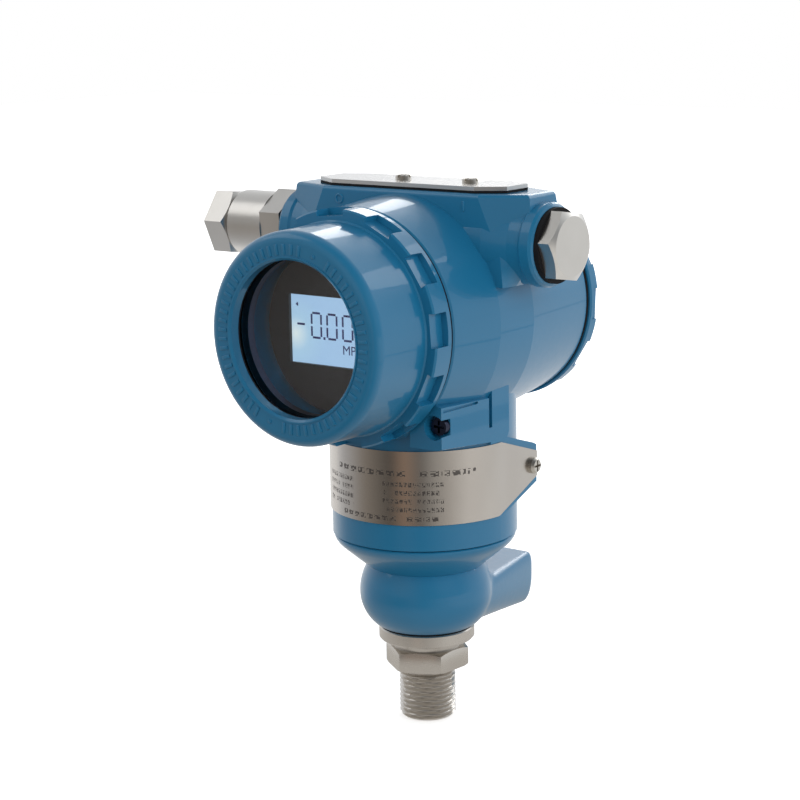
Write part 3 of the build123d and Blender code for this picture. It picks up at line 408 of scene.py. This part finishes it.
for corners_up, corner in ((True, boss_upper_corner), (False, boss_lower_corner)):
    bpy.ops.object.mode_set(mode="EDIT")
    bpy.ops.mesh.select_all(action="DESELECT")
    bpy.ops.object.mode_set(mode="OBJECT")
    half_way_up = (boss_top_z - boss_root_height / 2) * MM
    for vertex in boss.data.vertices:
        at_the_side = abs(abs(vertex.co.x) - boss_root_half * MM) < 0.01 * MM
        vertex.select = at_the_side and (vertex.co.z > half_way_up) == corners_up
    bpy.ops.object.mode_set(mode="EDIT")
    bpy.ops.mesh.bevel(offset=corner * MM, segments=10, affect="VERTICES")
    bpy.ops.object.mode_set(mode="OBJECT")
bpy.ops.object.mode_set(mode="EDIT")
bpy.ops.mesh.select_all(action="SELECT")
bpy.ops.mesh.extrude_region_move(
    TRANSFORM_OT_translate={"value": (0.0, (boss_end_y - boss_root_y) * MM, 0.0)}
)
bpy.ops.transform.resize(
    value=(boss_half / boss_root_half, 1.0, boss_end_height / boss_root_height),
    center_override=(0.0, boss_end_y * MM, boss_top_z * MM),
)
bpy.ops.mesh.bevel(offset=boss_end_edge * MM, segments=6, affect="EDGES")
bpy.ops.mesh.select_all(action="SELECT")
bpy.ops.mesh.normals_make_consistent(inside=False)
bpy.ops.object.mode_set(mode="OBJECT")
bpy.ops.object.select_all(action="DESELECT")
bpy.ops.mesh.primitive_cylinder_add(
    vertices=96, radius=flange_clearance_r * MM, depth=20 * MM,
    location=(0.0, 0.0, (casting_bottom_z - 10) * MM),
)
flange_clearance = bpy.context.active_object
finish_with(
    boss, "clear_of_flange", "BOOLEAN",
    operation="DIFFERENCE", solver="EXACT", object=flange_clearance,
)
bpy.data.objects.remove(flange_clearance)
pick(boss, bulb)
bpy.ops.object.join()
finish_with(bulb, "one_skin", "REMESH", mode="VOXEL", voxel_size=0.55 * MM)
finish_with(bulb, "soft_corners", "SMOOTH", iterations=22)
bulb.data.shade_smooth()
pick(collar)
bpy.ops.object.shade_smooth_by_angle(angle=math.radians(38))
for piece in (collar, bulb):
    paint.on(piece)
    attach(piece, "connection")
    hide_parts("sensor_housing")

# Marks of the two keys: cast on the front of the top block, a ring over the span key and a
# bar over the zero key, in the same paint as the block.
span_mark_x = -26.7 * MM
zero_mark_x = 28.3 * MM
mark_front_y = -12.8 * MM
mark_z = 193.4 * MM
bpy.ops.object.select_all(action="DESELECT")
bpy.ops.mesh.primitive_torus_add(
    location=(span_mark_x, mark_front_y, mark_z), rotation=(math.pi / 2, 0.0, 0.0),
    major_radius=1.5 * MM, minor_radius=0.42 * MM, major_segments=40, minor_segments=10,
)
span_mark = bpy.context.active_object
span_mark.name = "span_mark"
bpy.ops.object.select_all(action="DESELECT")
bpy.ops.mesh.primitive_cube_add(size=1.0, location=(zero_mark_x, mark_front_y, mark_z))
zero_mark = bpy.context.active_object
zero_mark.name = "zero_mark"
zero_mark.scale = (0.9 * MM, 0.8 * MM, 3.6 * MM)
for mark in (span_mark, zero_mark):
    pick(mark)
    bpy.ops.object.transform_apply(location=True, rotation=True, scale=True)
finish_with(zero_mark, "round_off", "BEVEL", width=0.25 * MM, segments=3)
for mark in (span_mark, zero_mark):
    mark.data.shade_smooth()
    paint.on(mark)
    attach(mark, "head")

# Front cover marks: two arcs of plain raised bars round the window, with a pip between the
# arcs, cast with the cover and under the same paint.
bar_size = (1.25 * MM, 0.6 * MM, 3.6 * MM)
bar_ring_r = 30.7
bar_face_y = -73.59
bar_count = 60
arc_count = bar_count // 2
first_bar_turn = math.radians(20)
pip_share = 0.3
axis_z = 152.7
bpy.ops.object.select_all(action="DESELECT")
bpy.ops.mesh.primitive_cube_add(size=1.0)
first_bar = bpy.context.active_object
first_bar.scale = bar_size
bpy.ops.object.transform_apply(location=True, rotation=True, scale=True)
finish_with(first_bar, "round_off", "BEVEL", width=0.12 * MM, segments=2)
cast_bars = []
for place in range(bar_count):
    if place % arc_count == 0:
        length_share = pip_share
    elif place % arc_count in (1, arc_count - 1):
        continue
    else:
        length_share = 1.0
    bar_copy = first_bar.copy()
    bar_copy.data = first_bar.data.copy()
    bpy.context.scene.collection.objects.link(bar_copy)
    turn = 2 * math.pi * place / bar_count + first_bar_turn
    bar_copy.scale = (1.0, 1.0, length_share)
    bar_copy.rotation_euler = (0.0, turn, 0.0)
    bar_copy.location = (
        bar_ring_r * math.sin(turn) * MM, bar_face_y * MM + bar_size[1] / 2,
        (axis_z + bar_ring_r * math.cos(turn)) * MM,
    )
    cast_bars.append(bar_copy)
bpy.data.objects.remove(first_bar)
pick(*reversed(cast_bars))
bpy.ops.object.join()
bar_ring = bpy.context.active_object
bar_ring.name = "cover_bar_ring"
bpy.ops.object.transform_apply(location=True, rotation=True, scale=True)
bpy.ops.object.shade_smooth_by_angle(angle=math.radians(50))
paint.on(bar_ring)
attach(bar_ring, "front_lid")


# Process stub: turned from one stainless bar, with a flange, a collar, a hexagon for the
# wrench, and below them a half-inch pipe thread cut in a lathe. It is screwed into the casting.
def turned_metal(name, along, colour, dark, rough):
    """Bare metal with the fine rings that a lathe leaves across the axis named by along."""
    finish = Finish(name)
    ring_stretch = [0.06, 0.06, 0.06]
    ring_stretch["XYZ".index(along)] = 1.0
    rings = finish.grain(5200.0, ring_stretch, detail=2.0)
    wide_rings = finish.grain(900.0, ring_stretch, detail=1.0)
    smudge = finish.grain(60.0, detail=3.0)
    finish.set(Base_Color=finish.blend(smudge, colour, dark), Metallic=1.0)
    finish.set(Roughness=rough + 0.12 * rings + 0.06 * smudge)
    finish.relief(rings + 0.5 * wide_rings, 0.00002, 0.35)
    return finish


steel = turned_metal("turned_stainless", "Z", (0.70, 0.67, 0.63), (0.58, 0.55, 0.51), 0.20)

flange_r = 17.75
hex_flats = 27.0
hex_bottom_z = 19.6
hex_top_z = 27.2
hex_turn = math.radians(-4.4)
stub = turned("stub_flange", [
    (9.5, 47.0), (9.5, 26.0), (12.6, 26.0), (12.6, hex_top_z), (13.2, 30.2), (17.1, 30.2),
    (flange_r, 30.9), (flange_r, 34.7), (17.4, 35.1), (14.0, 35.1), (14.0, 47.0),
], 120)
chamfer_cone = turned("hex_chamfer", [
    (3.2, hex_bottom_z), (14.6, hex_bottom_z), (16.0, hex_bottom_z + 0.7), (16.0, hex_top_z - 1.1),
    (13.6, hex_top_z), (3.2, hex_top_z),
], 120)
bpy.ops.object.select_all(action="DESELECT")
bpy.ops.mesh.primitive_cylinder_add(
    vertices=6, radius=hex_flats / math.sqrt(3) * MM, depth=20 * MM,
    location=(0.0, 0.0, (hex_bottom_z + hex_top_z) / 2 * MM), rotation=(0.0, 0.0, hex_turn),
)
hexagon = bpy.context.active_object
hexagon.name = "stub_hexagon"
bpy.ops.object.transform_apply(location=True, rotation=True, scale=True)
finish_with(
    hexagon, "turned_ends", "BOOLEAN",
    operation="INTERSECT", solver="EXACT", object=chamfer_cone,
)
bpy.data.objects.remove(chamfer_cone)
finish_with(
    hexagon, "eased_edges", "BEVEL",
    width=0.18 * MM, segments=2, limit_method="ANGLE", angle_limit=math.radians(40),
)

thread_crest_r = 10.45 * MM
thread_root_r = 9.32 * MM
thread_pitch = 1.814 * MM
thread_top = 19.6 * MM
lead_in_height = 1.1 * MM
lead_in_depth = 1.3 * MM
port_r = 3.0 * MM
relief_z = 18.0 * MM
relief_r = 9.2 * MM
bpy.ops.object.select_all(action="DESELECT")
bpy.ops.mesh.primitive_cylinder_add(
    vertices=120, radius=thread_crest_r, depth=thread_top, end_fill_type="NOTHING",
    location=(0.0, 0.0, thread_top / 2),
)
thread = bpy.context.active_object
thread.name = "process_thread"
bpy.ops.object.transform_apply(location=True, rotation=True, scale=True)
bpy.ops.object.mode_set(mode="EDIT")
bpy.ops.mesh.select_all(action="DESELECT")
bpy.ops.object.mode_set(mode="OBJECT")
for edge in thread.data.edges:
    low, high = (thread.data.vertices[i].co for i in edge.vertices)
    edge.select = abs(low.z - high.z) > thread_top / 2
bpy.ops.object.mode_set(mode="EDIT")
bpy.ops.mesh.select_mode(type="EDGE")
bpy.ops.mesh.subdivide(number_cuts=118)
bpy.ops.object.mode_set(mode="OBJECT")
land = 0.13
roundness = 0.35
for vertex in thread.data.vertices:
    z = vertex.co.z
    turn = math.atan2(vertex.co.y, vertex.co.x) / (2 * math.pi)
    phase = (z / thread_pitch - turn) % 1.0
    flank = 1.0 - abs(2.0 * phase - 1.0)
    cut = min(1.0, max(0.0, (flank - land) / (1.0 - 2.0 * land)))
    cut = cut * cut * (3.0 - 2.0 * cut) * roundness + cut * (1.0 - roundness)
    lead_in = min(1.0, z / lead_in_height)
    outer = thread_crest_r - (1.0 - lead_in) * lead_in_depth
    radius = min(outer, thread_root_r + (thread_crest_r - thread_root_r) * cut)
    run_out = min(1.0, max(0.0, (relief_z - z) / MM))
    radius = relief_r + (radius - relief_r) * run_out
    if z > relief_z:
        radius = min(radius, relief_r)
    flat = Vector((vertex.co.x, vertex.co.y)).normalized() * radius
    vertex.co.x, vertex.co.y = flat
bpy.ops.object.mode_set(mode="EDIT")
bpy.ops.mesh.select_mode(type="VERT")
bpy.ops.mesh.select_all(action="DESELECT")
bpy.ops.object.mode_set(mode="OBJECT")
for vertex in thread.data.vertices:
    vertex.select = vertex.co.z < 0.01 * MM
bpy.ops.object.mode_set(mode="EDIT")
bpy.ops.mesh.extrude_region_move()
bpy.ops.object.mode_set(mode="OBJECT")
for vertex in thread.data.vertices:
    if vertex.select:
        flat = Vector((vertex.co.x, vertex.co.y)).normalized() * port_r
        vertex.co.x, vertex.co.y = flat
bpy.ops.object.mode_set(mode="EDIT")
bpy.ops.mesh.extrude_region_move(TRANSFORM_OT_translate={"value": (0.0, 0.0, thread_top)})
bpy.ops.mesh.select_all(action="SELECT")
bpy.ops.mesh.normals_make_consistent(inside=False)
bpy.ops.object.mode_set(mode="OBJECT")
for piece in (stub, hexagon, thread):
    pick(piece)
    bpy.ops.object.shade_smooth_by_angle(angle=math.radians(32))
    steel.on(piece)
    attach(piece, "connection")
    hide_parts("process_connection")

# Sensor capsule: a stainless button with a thin welded membrane, pressed onto its seal inside
# the stub, over the pressure port. It has the finish of the turned bar.
steel.on("sensor_capsule", "process_connection")

# Seals: O-rings, washers and flat gaskets of black elastomer, moulded or punched, matt with a
# faint bloom. They lie in their grooves and are held by the piece that is screwed over them.
rubber = Finish("black_elastomer")
bloom = rubber.grain(240.0, detail=3.0)
rubber.set(Base_Color=rubber.blend(bloom, (0.006, 0.006, 0.007), (0.016, 0.016, 0.018)))
rubber.set(Specular_IOR_Level=0.2, Roughness=0.62 + 0.2 * bloom).relief(bloom, 0.00003, 0.4)
rubber.on(
    "process_gasket", "capsule_seal", "neck_seal", "front_cover_o_ring", "rear_cover_o_ring",
    "window_gasket", "plug_seal", "gland_seal", "gland_grommet", "top_gasket",
)

# Nameplate: a band of brushed stainless sheet bent round the neck and held by a screw at each
# end. It is etched in rows of plain strokes that read as small print from afar and say nothing.
band = Finish("etched_nameplate")
brushed = band.grain(2600.0, (0.05, 0.05, 1.0), detail=2.0)
warm = band.grain(55.0, (1.0, 1.0, 0.25), detail=1.0)
around = band.axis("X").angle_from(0.0 - band.axis("Y"))
up = band.axis("Z") / MM


def white_noise(shading, x, y):
    spot = shading.node("ShaderNodeCombineXYZ", None, {0: x, 1: y, 2: 0.0})
    return shading.node("ShaderNodeTexWhiteNoise", {"noise_dimensions": "3D"}, {0: spot})


def print_lines(bottom, pitch, lines, start, end, letter):
    """Rows of etched strokes, each letter a few strokes wide, between two angles round the neck."""
    line = (up - bottom) / pitch
    place = around / letter
    body = (line.fraction() > 0.22) * (line.fraction() < 0.78)
    body = body * (place.fraction() > 0.12) * (place.fraction() < 0.88)
    stroke = white_noise(band, (place * 5.0).floor(), (line * 7.0).floor()) > 0.42
    word = white_noise(band, place.floor(), line.floor()) > 0.14
    field = (up > bottom) * (up < bottom + pitch * lines) * (around > start) * (around < end)
    return body * stroke * word * field


etched = (
    print_lines(98.4, 3.6, 1, -0.42, 1.20, 0.115)
    .either(print_lines(85.6, 3.05, 4, 0.20, 0.84, 0.047))
    .either(print_lines(85.6, 3.05, 4, -0.66, -0.18, 0.047))
    .either(print_lines(82.2, 3.2, 1, -0.42, 0.78, 0.088))
)
band.set(Base_Color=band.blend(
    etched * 0.8, band.blend(warm, (0.64, 0.61, 0.57), (0.50, 0.46, 0.42)), (0.10, 0.09, 0.09)
))
band.set(Metallic=1.0, Roughness=0.17 + 0.10 * brushed + 0.3 * etched)
band.relief(brushed - 1.5 * etched, 0.00002, 0.4)
band.on("nameplate_band")

# Screws: small stainless screws with a cross slot, turned and left bright. The two lock screws
# of the covers are near-black steel with a blue tint. The ring that holds the window has the
# same colour: its near-black is painted shade, where it lies deep behind the glass, and its
# blue tint is a painted reflection of the glass's blue-purple sheen.
bright = turned_metal("bright_screw_steel", "X", (0.72, 0.69, 0.64), (0.60, 0.57, 0.52), 0.20)
bright.on(
    "nameplate_screws", "neck_set_screw", "board_screws", "terminal_screws",
    "inner_ground_screw", "top_plate_screws",
)
# Near-black with a blue tint; on the window ring this is painted shade and a painted sheen of the
# glass.
dark_steel_and_painted_shade = turned_metal("near_black_steel_and_painted_shade", "Y", (0.050, 0.056, 0.095), (0.030, 0.034, 0.060), 0.28)
dark_steel_and_painted_shade.on("front_lock_screw", "rear_lock_screw", "window_retaining_ring")

# Plug and cable gland: turned from hexagon bar and plated, satin, with the fine rings of the
# lathe across the conduit axis. They are screwed into the two entries of the head.
plated = turned_metal("plated_fitting", "X", (0.74, 0.72, 0.69), (0.64, 0.62, 0.58), 0.22)
plated.on("conduit_plug", "gland_body", "gland_cap", "gland_washer")

# Top plate: a cover of brushed stainless sheet over the keys, with a duller sheared edge all
# round. It is held on its gasket by two screws, and swings about one of them.
sheet = Finish("brushed_cover_plate")
strokes = sheet.grain(3000.0, (0.04, 1.0, 1.0), detail=2.0)
sheared = sheet.part(sheet.node("ShaderNodeTexCoord", output="Normal"), "Z") < 0.5
sheet.set(Base_Color=sheet.blend(sheared, (0.72, 0.70, 0.67), (0.88, 0.87, 0.85)), Metallic=1.0)
sheet.set(Roughness=0.13 + 0.08 * strokes + 0.42 * sheared)
sheet.relief(strokes, 0.00002, 0.15)
sheet.on("top_plate")

# Window: a thick disc of clear toughened glass, laid on its gasket behind the lip of the front
# cover and held there by a threaded ring.
glass = Finish("window_glass")
glass.set(Base_Color=(0.97, 0.985, 1.0, 1.0), Roughness=0.0, IOR=1.47)
glass.set(Transmission_Weight=1.0)
glass.on("window_glass")

# Display: a black moulded bezel clipped over a liquid crystal cell that is lit from its left
# edge. The segments that are on show dark blue. The two keys are moulded in the same black.
bezel = Finish("bezel_moulding")
leather = bezel.grain(900.0, detail=2.0)
bezel.set(Base_Color=bezel.blend(leather, (0.010, 0.011, 0.014), (0.020, 0.021, 0.026)))
bezel.set(Roughness=0.42 + 0.2 * leather).relief(leather, 0.00003, 0.4)
bezel.on("display_bezel", "zero_key", "span_key")

cell_glow = Finish("backlit_cell")
across = (cell_glow.axis("X") / MM + 20.0) / 40.0
rise = (cell_glow.axis("Z") / MM - 140.0) / 24.2
off_x = across - 0.05
off_z = rise - 0.42
spread = (off_x * off_x * 9.0 + off_z * off_z * 3.0).root()
glow = cell_glow.node(
    "ShaderNodeValToRGB",
    {"stops": ((0.0, (0.80, 0.92, 0.92)), (0.45, (0.44, 0.68, 0.88)), (1.0, (0.40, 0.62, 0.88)))},
    {0: spread},
)
cell_glow.set(Base_Color=(0.06, 0.09, 0.12, 1.0), Roughness=0.18)
cell_glow.set(Emission_Color=glow, Emission_Strength=0.85)
cell_glow.on("lcd_panel")

ink = Finish("display_segments")
shade = ink.grain(300.0)
ink.set(Base_Color=ink.blend(shade, (0.045, 0.055, 0.220), (0.070, 0.080, 0.280)))
ink.set(Roughness=0.35)
segment_y = -45.98 * MM
digit_height = 8.6
digit_width = 4.2
digit_step = 6.9
digit_bottom = 149.4
first_digit_x = -17.6
stroke = 0.75
arrow_z = 160.6
lit = {"0": "abcdef", "-": "g"}
segment_boxes = {
    "a": (0.0, 1.0, True), "d": (0.0, 0.0, True), "g": (0.0, 0.5, True),
    "f": (0.0, 0.75, False), "e": (0.0, 0.25, False),
    "b": (1.0, 0.75, False), "c": (1.0, 0.25, False),
}
bars = []
for mark_index, (symbol, point_after) in enumerate(
    (("-", False), ("0", True), ("0", False), ("0", False), ("0", False))
):
    x0 = first_digit_x + mark_index * digit_step
    for letter in lit[symbol]:
        side, level, lying = segment_boxes[letter]
        if lying:
            centre = (x0 + digit_width / 2, digit_bottom + level * digit_height)
            extent = (digit_width - stroke * 1.1, stroke)
        else:
            centre = (x0 + side * digit_width, digit_bottom + level * digit_height)
            extent = (stroke, digit_height / 2 - stroke * 1.1)
        bars.append((centre, extent))
    if point_after:
        bars.append(((x0 + digit_width + 1.35, digit_bottom), (0.9, 0.9)))
bars.append(((-16.9, arrow_z), (0.5, 1.2)))
bars.append(((-17.3, arrow_z), (0.5, 0.6)))
pieces = []
for (cx, cz), (wide, tall) in bars:
    bpy.ops.object.select_all(action="DESELECT")
    bpy.ops.mesh.primitive_cube_add(size=1.0, location=(cx * MM, segment_y, cz * MM))
    bar_piece = bpy.context.active_object
    bar_piece.scale = (wide * MM, 0.06 * MM, tall * MM)
    bpy.ops.object.transform_apply(location=True, rotation=True, scale=True)
    pieces.append(bar_piece)
bpy.ops.object.text_add(location=(0.0, 0.0, 0.0))
unit = bpy.context.active_object
unit.data.body = "MPa"
unit.data.size = 4.6 * MM
unit.data.extrude = 0.03 * MM
unit.data.resolution_u = 3
unit.rotation_euler = (math.pi / 2, 0.0, 0.0)
unit.location = (2.7 * MM, segment_y, 144.5 * MM)
bpy.ops.object.convert(target="MESH")
bpy.ops.object.transform_apply(location=True, rotation=True, scale=True)
pieces.append(bpy.context.active_object)
pick(*reversed(pieces))
bpy.ops.object.join()
segments = bpy.context.active_object
segments.name = "display_segments"
ink.on(segments)
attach(segments, "head")

# Boards: two round glass-fibre boards under green solder resist, with the tracks showing
# through it. They are stacked on turned brass spacers and screwed to the dividing wall.
board = Finish("solder_resist")
mottle = board.grain(160.0, detail=2.0)
tracks = (board.axis("X") * 700.0).sine() * (board.axis("Z") * 520.0).sine()
board.set(Base_Color=board.blend(
    (tracks > 0.55) * 0.6 + 0.2 * mottle, (0.010, 0.085, 0.035), (0.045, 0.20, 0.085)
))
board.set(Roughness=0.34 + 0.15 * mottle, Coat_Weight=0.3)
board.on("display_board", "main_board")
brass = Finish("turned_brass")
patina = brass.grain(220.0, detail=3.0)
brass.set(Base_Color=brass.blend(patina, (0.62, 0.44, 0.16), (0.50, 0.33, 0.11)), Metallic=1.0)
brass.set(Roughness=0.24 + 0.16 * patina)
brass.on("board_spacers")

# Terminals: a dark moulded block screwed to the dividing wall on its rear side, and the moulded
# feedthrough that carries the wires through that wall.
moulding = Finish("terminal_moulding")
speckle = moulding.grain(700.0, detail=2.0)
moulding.set(Base_Color=moulding.blend(speckle, (0.018, 0.018, 0.020), (0.034, 0.034, 0.037)))
moulding.set(Roughness=0.5 + 0.2 * speckle).relief(speckle, 0.00003, 0.4)
moulding.on("terminal_block", "feedthrough")
